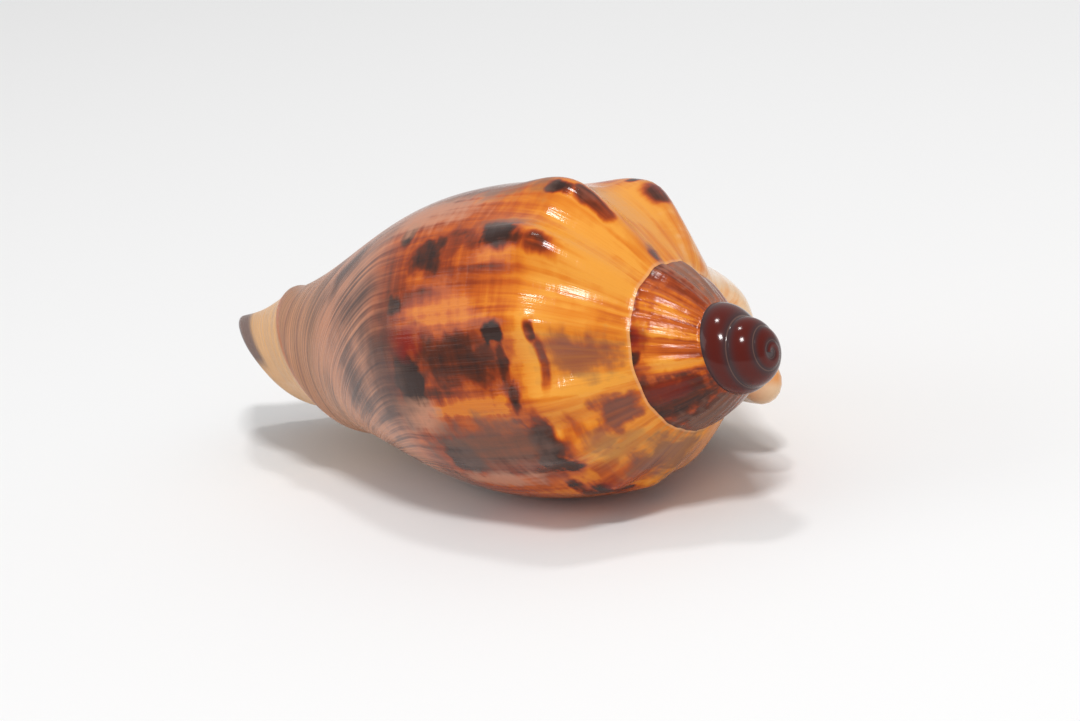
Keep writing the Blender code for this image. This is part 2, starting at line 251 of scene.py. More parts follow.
def knob(turn):
    """Height of the knobs at a turn, as a share of the shoulder radius."""
    height = 0.0
    for at, top in zip(KNOB_TURNS, KNOB_HEIGHTS):
        height = max(height, top * math.exp(-((turn - at) / KNOB_HALF_LENGTH) ** 2))
    if turn < KNOB_TURNS[0]:
        off = (KNOB_TURNS[0] - turn) / EARLY_KNOB_SPACING
        wave = 0.5 + 0.5 * math.cos(2 * math.pi * off)
        start = ease((turn - SMOOTH_WHORLS_END) / EARLY_KNOBS_GROW_TURNS)
        height = max(height, EARLY_KNOB_HEIGHT * start * wave)
    return height


def shoulder(turn):
    radius = shoulder_radius(turn)
    lump = knob(turn) * KNOB_AT_SHOULDER * radius
    return radius + lump, shoulder_depth(turn) - lump * KNOB_RISE


def wing(turn, share):
    """How far the slope rises towards the spire tip near the lip."""
    swell = WING_SWELL_MM * ease((turn - WING_SWELL_STARTS) / WING_SWELL_TURNS)
    flare = max(turn - WING_STARTS, 0) / (LAST_TURN - WING_STARTS)
    return (swell + WING_MM * flare ** WING_POWER) * math.sin(math.pi * share ** WING_CREST_POWER)


def slope_point(turn, share):
    """Radius and depth between the seam (share 0) and the shoulder (share 1)."""
    r0, d0 = shoulder(turn - 1)
    r1, d1 = shoulder_radius(turn), shoulder_depth(turn)
    length = math.hypot(r1 - r0, d1 - d0)
    late = ease((turn - SWELL_CHANGE_STARTS) / SWELL_CHANGE_TURNS)
    swell = EARLY_SWELL * math.sin(math.pi * share) ** SWELL_POWER * (1 - late)
    swell = (swell + LATE_SWELL * math.sin(math.pi * share) * late) * length
    out_r, out_d = (d1 - d0) / length, -(r1 - r0) / length
    reach = math.exp(-((1 - share - KNOB_LEAN) / KNOB_REACH_UP) ** 2) * share ** 0.5
    lump = knob(turn) * r1 * (reach + KNOB_RIDGE * late * math.sin(math.pi * share))
    radius = r0 + (r1 - r0) * share + out_r * swell + lump
    return radius, d0 + (d1 - d0) * share + out_d * swell - lump * KNOB_RISE - wing(turn, share)


def side_point(turn, share):
    """Radius and depth on the side, from the shoulder (share 0) to the front end (share 1)."""
    height = WHORL_HEIGHT_MM * math.exp(WHORL_HEIGHT_GROWTH * (turn - WHORL_HEIGHT_TURN))
    radius = shoulder_radius(turn)
    lump = knob(turn) * KNOB_AT_SHOULDER * radius * math.exp(-(share / KNOB_REACH_DOWN) ** 2)
    ridge = BAND_RIDGE_HEIGHT_MM * math.exp(-((share - BAND_RIDGE_AT) / BAND_RIDGE_WIDTH) ** 2)
    ridge *= ease((turn - BAND_RIDGE_STARTS) / BAND_RIDGE_GROWS_TURNS)
    depth = shoulder_depth(turn) + height * share - lump * KNOB_RISE
    return radius * side_radius(share) + lump + ridge, depth


def pillar_point(turn, step, steps):
    """Radius and depth on the pillar, from the end of the side (step 0) to its tip."""
    r0, d0 = side_point(turn, 1)
    share = step / steps
    depth = d0 + (PILLAR_TIP_MM - d0) * share
    radius = PILLAR_TIP_RADIUS_MM + (r0 - PILLAR_TIP_RADIUS_MM) * (1 - share) ** PILLAR_TAPER_POWER
    waist = 1 - PILLAR_WAIST * math.sin(math.pi * min(share * PILLAR_WAIST_WAVE, 1))
    return radius * waist, depth


def tail_point(turn, step, bottom):
    """On the pillar inside the hollow, from the end of the side before down to the bottom."""
    r0, d0 = side_point(turn, 1)
    share = step / PILLAR_STEPS_ABOVE
    return r0 + (bottom[0] - r0) * share ** 3, d0 + (bottom[1] - d0) * share


def back_point(turn, share):
    """On the whorl before, inside the hollow, with the folds of the pillar."""
    r, d = side_point(turn - 1, share)
    fold = sum(math.exp(-((share - at) / FOLD_WIDTH) ** 2) for at in FOLDS_AT)
    return r + fold * FOLD_HEIGHT_MM * ease((LAST_TURN - turn) / FOLD_EASE_TURNS), d


def wall(turn):
    return WALL_MM + (LIP_WALL_MM - WALL_MM) * ease((turn - LAST_TURN) / LIP_THICKENS_TURNS + 1)


def inset(line, thickness):
    """The same line moved inwards by the wall."""
    moved = []
    for i, (r, d) in enumerate(line):
        r0, d0 = line[max(i - 2, 0)]
        r1, d1 = line[min(i + 2, len(line) - 1)]
        length = math.hypot(r1 - r0, d1 - d0)
        moved.append((r - (d1 - d0) / length * thickness, d + (r1 - r0) / length * thickness))
    return moved


def inner_line(turn, outer, thickness, corner):
    """The inner face of the wall at one turn, softened over the shoulder."""
    line = np.array(inset(outer, thickness))
    for i in range(1, SLOPE_STEPS):
        r, d = between(corner, line[SLOPE_STEPS], i / SLOPE_STEPS)
        line[i] = r, d - wing(turn, i / SLOPE_STEPS) * WING_INSIDE
    for _ in range(INNER_SMOOTHING):
        line[2:-1] = (line[1:-2] + line[2:-1] * 2 + line[3:]) / 4
    return [tuple(point) for point in line]


def side_rows():
    """Shares down the side, closer together where knobs, folds and the ridge need it."""
    parts = ((0.0, 0.08, 10), (0.08, 0.46, 26), (0.46, 0.92, 58), (0.92, 1.0, 8))
    rows = [0.0]
    for low, high, count in parts:
        rows += [low + (high - low) * (k + 1) / count for k in range(count)]
    return rows


SIDE_ROWS = side_rows()
CORNER_ROW = 10
LIP_RINGS = CORNER_ROW - 1
CORNER_BLEND = 8


class Sheet:
    """Points of the shell told by turn, radius and depth, and faces with their place on the whorl."""

    def __init__(self):
        self.points = []
        self.faces = []
        self.growth = []
        self.zone = []

    def add(self, turn, line_point):
        self.points.append((turn, line_point[0], line_point[1]))
        return len(self.points) - 1

    def add_local(self, point):
        self.points.append(unplace(point))
        return len(self.points) - 1

    def face(self, corners, growth, zone):
        """A face; growth is (turn, share) and zone (inside, edge) for each corner."""
        kept = []
        for corner, g, z in zip(corners, growth, zone):
            if corner not in [k[0] for k in kept]:
                kept.append((corner, g, z))
        if len(kept) < 3:
            return
        self.faces.append([k[0] for k in kept])
        self.growth.append([k[1] for k in kept])
        self.zone.append([k[2] for k in kept])

    def strip(self, a, b, turns, shares, inside):
        """Faces between two lines of points that run the same way."""
        for i in range(min(len(a), len(b)) - 1):
            growth = ((turns[0], shares[i]), (turns[0], shares[i + 1]),
                      (turns[1], shares[i + 1]), (turns[1], shares[i]))
            self.face((a[i], a[i + 1], b[i + 1], b[i]), growth, ((inside, 0.0),) * 4)


def outer_column(turn):
    """Seam, slope, shoulder and side at one turn, down to the front end or the notch rim."""
    end = 1 - NOTCH_CORNER * ease((turn - LAST_TURN) / NOTCH_CORNER_TURNS + 1)
    column = [slope_point(turn, i / SLOPE_STEPS) for i in range(SLOPE_STEPS)]
    return column + [side_point(turn, end * share) for share in SIDE_ROWS]


OUTER_SHARES = [i / SLOPE_STEPS - 1 for i in range(SLOPE_STEPS)] + SIDE_ROWS
FIRST = START_TURN * STEPS_PER_TURN
LAST = round(LAST_TURN * STEPS_PER_TURN)
FIRST_SIDE = LAST - STEPS_PER_TURN
NOTCH = round(NOTCH_TURN * STEPS_PER_TURN)
DEEPEST = round((LAST_TURN - CAVITY_TURNS) * STEPS_PER_TURN)
WALL_COUNT = SLOPE_STEPS + len(SIDE_ROWS)


def outside(sheet):
    """The outer surface, one column of points at each step of growth."""
    columns = {}
    seam = {}
    for j in range(FIRST, FIRST + STEPS_PER_TURN + 1):
        turn = j / STEPS_PER_TURN - 1
        seam[j] = sheet.add(turn, shoulder(turn))
    for j in range(FIRST, LAST + 1):
        turn = j / STEPS_PER_TURN
        line = outer_column(turn)
        stop = len(line) if j >= FIRST_SIDE else SLOPE_STEPS + 1
        column = [seam[j]] + [sheet.add(turn, point) for point in line[1:stop]]
        if j == FIRST:
            column[SLOPE_STEPS] = seam[FIRST + STEPS_PER_TURN]
        seam[j + STEPS_PER_TURN] = column[SLOPE_STEPS]
        columns[j] = column
    for j in range(FIRST, LAST):
        turns = (j / STEPS_PER_TURN, (j + 1) / STEPS_PER_TURN)
        sheet.strip(columns[j], columns[j + 1], turns, OUTER_SHARES, 0.0)
    rim = [seam[FIRST + k] for k in range(STEPS_PER_TURN + 1)]
    rim += [columns[FIRST][i] for i in range(SLOPE_STEPS - 1, 0, -1)]
    middle = sheet.add(SPIRE_TIP_TURN, SPIRE_TIP_MM)
    for k, corner in enumerate(rim):
        after = rim[(k + 1) % len(rim)]
        growth = [(sheet.points[p][0] + 1, -1.0) for p in (corner, after)]
        sheet.face((middle, corner, after), [growth[0]] + growth, ((0.0, 0.0),) * 3)
    return columns


def pillar(sheet, columns):
    """The pillar under the end of the side, from the lip round to the notch."""
    shares = [1 + m / PILLAR_STEPS for m in range(PILLAR_STEPS + 1)]
    made = {}
    for j in range(FIRST_SIDE, NOTCH):
        turn = j / STEPS_PER_TURN
        line = [pillar_point(turn, m, PILLAR_STEPS) for m in range(1, PILLAR_STEPS + 1)]
        made[j] = [columns[j][-1]] + [sheet.add(turn, point) for point in line]
    line = [pillar_point(NOTCH_TURN, m, PILLAR_STEPS_BELOW) for m in range(1, PILLAR_STEPS_BELOW + 1)]
    made[NOTCH] = [columns[NOTCH][-1]] + [sheet.add(NOTCH / STEPS_PER_TURN, point) for point in line]
    for j in range(FIRST_SIDE, NOTCH):
        turns = (j / STEPS_PER_TURN, (j + 1) / STEPS_PER_TURN)
        after = made[j + 1]
        if j == NOTCH - 1:
            after = [after[0]] * PILLAR_STEPS_ABOVE + after
        sheet.strip(made[j], after, turns, shares, 0.0)
    return made


def closed_foot(turn, thick, opened):
    """Where the front end is still closed: the bottom of the hollow, and the pillar above it."""
    r, d = side_point(turn, 1)
    r1, d1 = side_point(turn, CAVITY_BOTTOM_SHARE)
    bottom = (r + (r1 - thick * CAVITY_BOTTOM_WALLS - r) * opened, d + (d1 - d) * opened)
    return bottom, [tail_point(turn - 1, m, bottom) for m in range(1, PILLAR_STEPS_ABOVE)]


def open_foot(turn, opened):
    """Beside the open notch: the pillar above the front end, and the pillar below it."""
    mouth = side_point(NOTCH_TURN, 1)
    above = []
    for m in range(1, PILLAR_STEPS_ABOVE + 1):
        first = tail_point(turn - 1, m, mouth)
        above.append(between(first, pillar_point(turn - 1, m, PILLAR_STEPS), opened))
    below = []
    for m in range(1, PILLAR_STEPS_BELOW + 1):
        first = pillar_point(NOTCH_TURN, m, PILLAR_STEPS_BELOW)
        then = pillar_point(turn - 1, PILLAR_STEPS_ABOVE + m, PILLAR_STEPS)
        below.append(between(first, then, opened))
    return above, below


def hollow_ring(sheet, j, columns, pillars):
    """One ring of the inside, from the front end up the wall, over the corner and down the pillar."""
    turn = j / STEPS_PER_TURN
    thick = wall(turn)
    outer = outer_column(turn)
    back = [back_point(turn, share) for share in SIDE_ROWS[CORNER_ROW:]]
    line = inner_line(turn, outer, thick, back[0])
    opened = ease(abs(j - NOTCH) / (NOTCH_EASE_TURNS * STEPS_PER_TURN))
    closed = j <= NOTCH
    if closed:
        below = []
        bottom, above = closed_foot(turn, thick, opened)
    else:
        above, below = open_foot(turn, opened)
    ring = []
    for i in range(WALL_COUNT - 1, 0, -1):
        from_end = ease((1 - OUTER_SHARES[i]) / WALL_END_SHARE)
        if closed:
            point = between(bottom, line[i], from_end)
        else:
            point = between(outer[i], line[i], opened + (1 - opened) * from_end)
        if j == NOTCH and i == WALL_COUNT - 1:
            ring.append(columns[NOTCH][-1])
        else:
            ring.append(sheet.add(turn, point))
    if j == LAST:
        return ring + columns[FIRST_SIDE][SLOPE_STEPS + CORNER_ROW:] + pillars[FIRST_SIDE][1:]
    ring += [sheet.add(turn, point) for point in back + above]
    if closed:
        ring.append(ring[0])
    if j == NOTCH:
        ring += pillars[NOTCH][1:]
    return ring + [sheet.add(turn, point) for point in below]


def hollow(sheet, columns, pillars):
    """The inside, as rings from its deep end to the lip."""
    rings = {j: hollow_ring(sheet, j, columns, pillars) for j in range(DEEPEST, LAST + 1)}
    wall_shares = [OUTER_SHARES[i] for i in range(WALL_COUNT - 1, 0, -1)]
    back_shares = SIDE_ROWS[CORNER_ROW:] + [1 + m / PILLAR_STEPS for m in range(1, PILLAR_STEPS + 1)]
    cut = len(wall_shares)
    corner = slice(cut - 1, cut + 1)
    for j in range(DEEPEST, LAST):
        turns = ((j + 1) / STEPS_PER_TURN, j / STEPS_PER_TURN)
        near, deep = rings[j + 1], rings[j]
        sheet.strip(near[:cut], deep[:cut], turns, wall_shares, 1.0)
        sheet.strip(near[corner], deep[corner], turns, (-1.0, -1.0), 1.0)
        sheet.strip(near[cut:], deep[cut:], turns, back_shares, 1.0)
    blind_end(sheet, rings[DEEPEST])
    return rings


def blind_end(sheet, ring):
    """Closes the deep end of the hollow, where no view reaches."""
    left, right = ring[:WALL_COUNT - 1], ring[:WALL_COUNT - 2:-1]
    i = k = 0
    while i < len(left) - 1 or k < len(right) - 1:
        ahead = (i + 1) / (len(left) - 1) <= (k + 1) / (len(right) - 1)
        if k == len(right) - 1 or (ahead and i < len(left) - 1):
            corners = (left[i], left[i + 1], right[k])
            i += 1
        else:
            corners = (left[i], right[k + 1], right[k])
            k += 1
        sheet.face(corners, ((LAST_TURN - CAVITY_TURNS, 0.0),) * 3, ((1.0, 0.0),) * 3)


def place(turn, radius, depth):
    """Local point of a radius and a depth at a turn, with the bend of the front end."""
    angle = 2 * math.pi * turn
    bend = BEND_MM * (max(depth - BEND_FROM_MM, 0) / BEND_SCALE_MM) ** 2
    towards = math.radians(BEND_TOWARDS_DEG)
    return Vector((radius * math.cos(angle) + bend * math.cos(towards),
                   radius * math.sin(angle) + bend * math.sin(towards), depth))


def unplace(point):
    """Turn, radius and depth of a local point."""
    bend = BEND_MM * (max(point.z - BEND_FROM_MM, 0) / BEND_SCALE_MM) ** 2
    towards = math.radians(BEND_TOWARDS_DEG)
    x = point.x - bend * math.cos(towards)
    y = point.y - bend * math.sin(towards)
    return math.atan2(y, x) / (2 * math.pi), math.hypot(x, y), point.z


def rim_lines(columns, rings):
    """Along the lip and the notch: the outer and inner edge, the lines behind both, and the growth."""
    last_wall = WALL_COUNT - 1
    before = rings[LAST - 1]
    outer = list(columns[LAST])
    inner = [rings[LAST][last_wall]] + rings[LAST][:last_wall][::-1]
    outer_back = columns[LAST - 1][:last_wall] + [columns[LAST - 1][-2]]
    inner_back = ([before[last_wall]] + before[:last_wall][::-1])[:last_wall] + [before[1]]
    growth = [(LAST_TURN, share) for share in OUTER_SHARES]
    for j in range(LAST - 1, NOTCH - 1, -1):
        outer.append(columns[j][-1])
        inner.append(rings[j][0])
        outer_back.append(columns[j][-2])
        inner_back.append(rings[j][1])
        growth.append((j / STEPS_PER_TURN, 1.0))
    return outer, inner, outer_back, inner_back, growth


def rounded_line(sheet, outer, inner, away):
    """Points on a half circle from the outer edge to the inner one."""
    if outer == inner:
        return [outer] * (LIP_RINGS + 2)
    a, b = place(*sheet.points[outer]), place(*sheet.points[inner])
    out = away.normalized() * (a - b).length / 2
    line = [outer]
    for m in range(1, LIP_RINGS + 1):
        angle = math.pi * m / (LIP_RINGS + 1)
        point = a.lerp(b, 0.5 - 0.5 * math.cos(angle)) + out * math.sin(angle)
        line.append(sheet.add_local(point))
    return line + [inner]


def lip(sheet, columns, rings):
    """The rounded edge of the opening and of the notch, between the outside and the hollow."""
    outer, inner, outer_back, inner_back, growth = rim_lines(columns, rings)
    away = []
    for ids in zip(outer, inner, outer_back, inner_back):
        a, b, behind_a, behind_b = [place(*sheet.points[i]) for i in ids]
        away.append((a + b - behind_a - behind_b).normalized())
    rounded = [columns[FIRST_SIDE][SLOPE_STEPS:SLOPE_STEPS + CORNER_ROW + 1]]
    for k in range(1, len(outer)):
        near = away[max(k - CORNER_BLEND, 0):k + CORNER_BLEND + 1]
        rounded.append(rounded_line(sheet, outer[k], inner[k], sum(near, Vector())))
    inside = [m / (LIP_RINGS + 1) for m in range(LIP_RINGS + 2)]
    for k in range(len(rounded) - 1):
        for m in range(LIP_RINGS + 1):
            corners = (rounded[k][m], rounded[k + 1][m], rounded[k + 1][m + 1], rounded[k][m + 1])
            shares = (inside[m], inside[m], inside[m + 1], inside[m + 1])
            zone = [(share, math.sin(math.pi * share)) for share in shares]
            sheet.face(corners, (growth[k], growth[k + 1], growth[k + 1], growth[k]), zone)


def pillar_end(sheet, pillars, rings):
    """Closes the tip of the pillar."""
    ring = [pillars[j][-1] for j in range(FIRST_SIDE, NOTCH + 1)]
    ring += [rings[j][-1] for j in range(NOTCH + 1, LAST)]
    middle = sum((place(*sheet.points[k]) for k in ring), Vector()) / len(ring)
    tip = sheet.add_local(middle + Vector((0, 0, PILLAR_TIP_DOME_MM)))
    for k, corner in enumerate(ring):
        corners = (tip, corner, ring[(k + 1) % len(ring)])
        sheet.face(corners, ((NOTCH_TURN, 2.0),) * 3, ((0.5, 0.0),) * 3)


def unwound_shell():
    """The shell as a mesh whose points hold turn, radius and depth instead of x, y and z."""
    sheet = Sheet()
    columns = outside(sheet)
    pillars = pillar(sheet, columns)
    rings = hollow(sheet, columns, pillars)
    lip(sheet, columns, rings)
    pillar_end(sheet, pillars, rings)
    mesh = bpy.data.meshes.new("grown shell")
    mesh.from_pydata(sheet.points, [], sheet.faces)
    for name, corners in (("growth", sheet.growth), ("zone", sheet.zone)):
        layer = mesh.uv_layers.new(name=name)
        flat = np.array([value for face in corners for corner in face for value in corner])
        layer.data.foreach_set("uv", flat)
    return mesh


def lying_turn():
    """The turn that lays the shell on its opening, as angles about the three axes."""
    side = math.radians(GROUND_SIDE_DEG)
    rise = math.radians(SPIRE_RISE_DEG)
    up = -Vector((math.cos(rise) * math.cos(side), math.cos(rise) * math.sin(side), math.sin(rise)))
    spire = Vector((0, 0, -1))
    along = (spire - up * spire.dot(up)).normalized()
    return Matrix((along, up.cross(along), up)).to_euler()


def wound_place(start, rows, size):
    """Where a point of the rows lies once it is wound, with the bend of the front end."""
    parts = start.node("ShaderNodeSeparateXYZ", {0: rows.outputs[0]})
    turn, radius, depth = [Field(start.tree, socket) for socket in parts.outputs]
    angle = turn * (2 * math.pi)
    past = start.math("MAXIMUM", depth - size("Bend from"), 0.0) / size("Bend scale")
    bend = size("Bend") * past * past
    x = radius * start.math("COSINE", angle) + bend * start.math("COSINE", size("Bend towards"))
    y = radius * start.math("SINE", angle) + bend * start.math("SINE", size("Bend towards"))
    return start.node("ShaderNodeCombineXYZ", {0: x, 1: y, 2: depth}).outputs[0]


def rib_groove(start, size):
    """How far the ribs sink into the surface, along its normal."""
    kept = start.node("GeometryNodeInputNamedAttribute", {"Name": "wound"}, data_type="FLOAT_VECTOR")
    grown = Field(start.tree, start.node("ShaderNodeSeparateXYZ", {0: kept.outputs[0]}).outputs[0])
    wave = 0.5 + 0.5 * start.math("COSINE", grown * size("Ribs per turn") * (2 * math.pi))
    begun = grown.ramp(size("Ribs start"), size("Ribs start") + RIBS_EASE_TURNS)
    over = grown.ramp(size("Ribs end"), size("Ribs end") + RIBS_EASE_TURNS)
    cut = -size("Rib depth") * wave * begun * (1.0 - over)
    normal = start.node("GeometryNodeInputNormal")
    groove = start.node("ShaderNodeVectorMath", {0: normal.outputs[0], "Scale": cut}, operation="SCALE")
    return groove.outputs[0]


def laid_down(start, shape, lying, size):
    """Lays the shell on its opening, centred on the origin and at its real size."""
    laid = start.node("GeometryNodeTransform", {"Geometry": shape, "Rotation": lying})
    box = start.node("GeometryNodeBoundBox", {"Geometry": laid.outputs[0]})
    low = start.node("ShaderNodeSeparateXYZ", {0: box.outputs["Min"]})
    high = start.node("ShaderNodeSeparateXYZ", {0: box.outputs["Max"]})
    middle_x = (Field(start.tree, low.outputs[0]) + Field(start.tree, high.outputs[0])) * -0.5
    middle_y = (Field(start.tree, low.outputs[1]) + Field(start.tree, high.outputs[1])) * -0.5
    bottom = Field(start.tree, low.outputs[2])
    home = start.node("ShaderNodeCombineXYZ", {0: middle_x, 1: middle_y, 2: -bottom})
    settled = start.node("GeometryNodeTransform",
                         {"Geometry": laid.outputs[0], "Translation": home.outputs[0]})
    scale = start.node("ShaderNodeCombineXYZ", {0: size("Size"), 1: size("Size"), 2: size("Size")})
    sized = start.node("GeometryNodeTransform",
                       {"Geometry": settled.outputs[0], "Scale": scale.outputs[0]})
    return sized.outputs[0]


def winding_tree():
    """Geometry Nodes that wind the flat rows into the shell, bend and rib it, and lay it down."""
    tree = bpy.data.node_groups.new("winding", "GeometryNodeTree")
    face = tree.interface
    face.new_socket("Rows", in_out="INPUT", socket_type="NodeSocketGeometry")
    for name in ("Bend", "Bend from", "Bend scale", "Bend towards", "Ribs per turn", "Rib depth",
                 "Ribs start", "Ribs end", "Size"):
        face.new_socket(name, in_out="INPUT", socket_type="NodeSocketFloat")
    face.new_socket("Lying", in_out="INPUT", socket_type="NodeSocketVector")
    face.new_socket("Finish", in_out="INPUT", socket_type="NodeSocketMaterial")
    face.new_socket("Shell", in_out="OUTPUT", socket_type="NodeSocketGeometry")
    given = tree.nodes.new("NodeGroupInput").outputs

    def size(name):
        return Field(tree, given[name])

    start = Field(tree, None)
    rows = start.node("GeometryNodeInputPosition")
    captured = start.node("GeometryNodeStoreNamedAttribute",
                          {"Geometry": given["Rows"], "Name": "wound", "Value": rows.outputs[0]},
                          data_type="FLOAT_VECTOR", domain="POINT")
    shaped = start.node("GeometryNodeSetPosition",
                        {"Geometry": captured.outputs[0], "Position": wound_place(start, rows, size)})
    ribbed = start.node("GeometryNodeSetPosition",
                        {"Geometry": shaped.outputs[0], "Offset": rib_groove(start, size)})
    laid = laid_down(start, ribbed.outputs[0], given["Lying"], size)
    whole = start.node("GeometryNodeRealizeInstances", {"Geometry": laid})
    finished = start.node("GeometryNodeSetMaterial",
                          {"Geometry": whole.outputs[0], "Material": given["Finish"]})
    ends = tree.nodes.new("NodeGroupOutput")
    tree.links.new(finished.outputs[0], ends.inputs[0])
    return tree


def wound_shell(finish):
    """Winds the rows with the tree and keeps the result as a plain mesh."""
    rows = bpy.data.objects.new("shell rows", unwound_shell())
    bpy.context.scene.collection.objects.link(rows)
    tree = winding_tree()
    values = {"Bend": BEND_MM, "Bend from": BEND_FROM_MM, "Bend scale": BEND_SCALE_MM,
              "Bend towards": math.radians(BEND_TOWARDS_DEG), "Ribs per turn": RIBS_PER_TURN,
              "Rib depth": RIB_DEPTH_MM, "Ribs start": RIBS_START, "Ribs end": RIBS_END,
              "Size": MM * FITTED, "Lying": tuple(lying_turn()), "Finish": finish}
    modifier = rows.modifiers.new("winding", "NODES")
    modifier.node_group = tree
    for item in tree.interface.items_tree:
        if item.name in values:
            modifier[item.identifier] = values[item.name]
    graph = bpy.context.evaluated_depsgraph_get()
    mesh = bpy.data.meshes.new_from_object(rows.evaluated_get(graph), depsgraph=graph)
    bpy.data.objects.remove(rows, do_unlink=True)
    body = bmesh.new()
    body.from_mesh(mesh)
    bmesh.ops.delete(body, geom=[v for v in body.verts if not v.link_faces], context="VERTS")
    bmesh.ops.recalc_face_normals(body, faces=body.faces[:])
    body.to_mesh(mesh)
    body.free()
    mesh.shade_smooth()
    mesh.name = "polished shell"
    made = bpy.data.objects.new("polished_shell", mesh)
    bpy.context.scene.collection.objects.link(made)
    return made


# Colours of the shell, as linear red, green and blue.
PALE_GOLD = (0.88, 0.36, 0.045, 1)
GOLD = (0.78, 0.235, 0.016, 1)
AMBER = (0.56, 0.105, 0.007, 1)
RUST = (0.31, 0.042, 0.005, 1)
BROWN = (0.115, 0.020, 0.005, 1)
BLACK_BROWN = (0.034, 0.012, 0.008, 1)
RED = (0.25, 0.009, 0.002, 1)
SALMON = (0.62, 0.28, 0.165, 1)
MAUVE = (0.345, 0.175, 0.125, 1)
# Grey-mauve and grey-brown are partly the shell's own greyer tones and partly painted sheen.
GREY_MAUVE = (0.150, 0.085, 0.068, 1)
GREY_BROWN = (0.215, 0.092, 0.055, 1)
SLATE = (0.060, 0.038, 0.036, 1)
TAN = (0.66, 0.34, 0.170, 1)
CREAM = (0.88, 0.63, 0.40, 1)
HONEY = (0.84, 0.43, 0.145, 1)
MAROON = (0.098, 0.006, 0.002, 1)
PURPLE = (0.050, 0.025, 0.027, 1)
INSIDE_CREAM = (0.86, 0.62, 0.42, 1)
INSIDE_ORANGE = (0.72, 0.33, 0.13, 1)
RIM_GREY = (0.16, 0.11, 0.11, 1)

# Depth of the stain, from a thin golden layer to nearly black.
STAIN = ((0.0, PALE_GOLD), (0.22, GOLD), (0.42, AMBER), (0.60, RUST), (0.78, BROWN), (1.0, BLACK_BROWN))

# One unit of the share across the whorl, in millimetres, on the side and on the slope.
SIDE_MM = 55.0
SLOPE_MM = 13.0

# The growth lines lag towards the front: gently from LAG_STARTS, and steeply at the very end.
LAG_STARTS = 0.42
LAG_TURNS = 0.55
LAG_POWER = 1.5
END_LAG_TURNS = 45.0
END_LAG_POWER = 6.0

# Noise that follows the growth: its steps in one turn and in one millimetre, its seed and detail.
LINES = (110.0, 0.05, 1.0, 6.0)
FINE_LINES = (420.0, 0.10, 2.0, 2.0)
SPIRAL = (12.0, 0.9, 3.0, 3.0)
BLOCKS = (42.0, 0.40, 4.0, 2.0)
CLOUD = (16.0, 0.12, 5.0, 2.0)
BLOTCHES = (13.0, 0.10, 6.0, 3.0)
THREADS = (250.0, 0.03, 7.0, 4.0)

# Where parts of the pattern begin and are full, in turns or in shares across the whorl.
LAST_WHORL = (3.53, 3.60)
SMOOTH_WHORLS = (2.60, 2.80)
SEEN_FROM = (3.68, 3.76)
SEEN_TO = (4.36, 4.42)
SIDE = (-0.15, 0.12)
LOW_SIDE = (0.18, 0.40)
FRONT = (0.32, 0.50)
TAN_PART = (0.60, 0.80)
BAND = (0.845, 0.87)
RIM = (0.958, 0.980)
RIM_TURNS = (4.00, 4.06)
SEAM_EDGE = (-0.988, -0.965)
SEAM_TURNS = (3.6, 3.8)
BLOTCHES_START = (-0.9, -0.3)
BLOTCHES_END = (0.30, 0.40)
NOTCH_LIP = (0.85, 0.95)
SATIN_PART = (0.35, 0.60)

# Lines along the whorl, each as the share that it lies at and its width.
AMBER_LINE = (0.852, 0.008)
TIP_UPPER_SEAM = (-1.0, 0.20)
TIP_LOWER_SEAM = (0.0, 0.22)
TIP_THREAD = (-0.97, 0.018)

# Depth of stain that each part and each pattern adds.
SLOPE_STAIN = 0.13
SIDE_STAIN = 0.29
LOW_SIDE_STAIN = 0.16
EARLIER_WHORL_STAIN = 0.28
LEAST_SIDE_STAIN = 0.28
LINES_STAIN = 0.75
FINE_STAIN = 0.2
SPIRAL_STAIN = 0.40
CLOUD_STAIN = 0.50
BROWN_STAIN = 0.46
DARK_STAIN = 0.80
GOLD_STAIN = 0.30

# Marks have rounded corners, and their edges fade over a share of their size. How far each
# noise frays those edges is told in the same share.
MARK_POWER = 3.0
MARK_FADE = 0.5
SOFT_MARK_FADE = 0.8
LINES_FRAY = 1.2
BLOCKS_FRAY = 1.7
SPIRAL_FRAY = 0.8
CLOUD_FRAY = 0.9

# How far a colour covers what lies under it.
RED_COVER = 0.85
SEAM_COVER = 0.22
FRONT_MAUVE_AND_SHEEN_COVER = 0.95
TAN_COVER = 0.60
BAND_COVER = 0.92
AMBER_COVER = 0.7
RIM_COVER = 0.9
THREAD_COVER = 0.30
LIP_COVER = 0.85

# The polish, and the fine relief of the growth lines.
REFLECTION = 0.32
POLISH = 0.14
RELIEF_M = 0.00012
RELIEF_STRENGTH = 0.8

# Marks, each as turn, share across, half size in both and strength.
DARK_MARKS = (
    (4.165, 0.345, 0.014, 0.018, 0.60), (4.130, 0.262, 0.016, 0.042, 0.55),
    (4.143, 0.058, 0.014, 0.055, 0.85), (4.137, -0.200, 0.011, 0.140, 0.75),
    (4.217, -0.050, 0.007, 0.100, 1.00), (4.222, -0.340, 0.009, 0.170, 0.90),
    (4.325, -0.020, 0.006, 0.040, 0.85), (4.326, -0.270, 0.011, 0.120, 0.95),
    (4.238, -0.920, 0.012, 0.070, 0.60), (4.080, 0.345, 0.010, 0.022, 0.70),
    (4.043, 0.050, 0.010, 0.024, 0.95), (4.041, -0.170, 0.009, 0.045, 0.80),
    (4.006, 0.045, 0.028, 0.011, 0.36), (4.000, 0.335, 0.034, 0.034, 0.95),
    (4.010, -0.210, 0.030, 0.045, 0.50), (3.972, 0.032, 0.016, 0.016, 0.65),
    (3.905, 0.290, 0.022, 0.045, 0.42), (3.925, 0.012, 0.036, 0.034, 0.44),
    (3.886, 0.022, 0.016, 0.034, 1.00), (3.800, 0.030, 0.032, 0.036, 0.85),
    (3.008, -0.030, 0.012, 0.070, 0.55), (3.052, -0.040, 0.012, 0.090, 0.40))
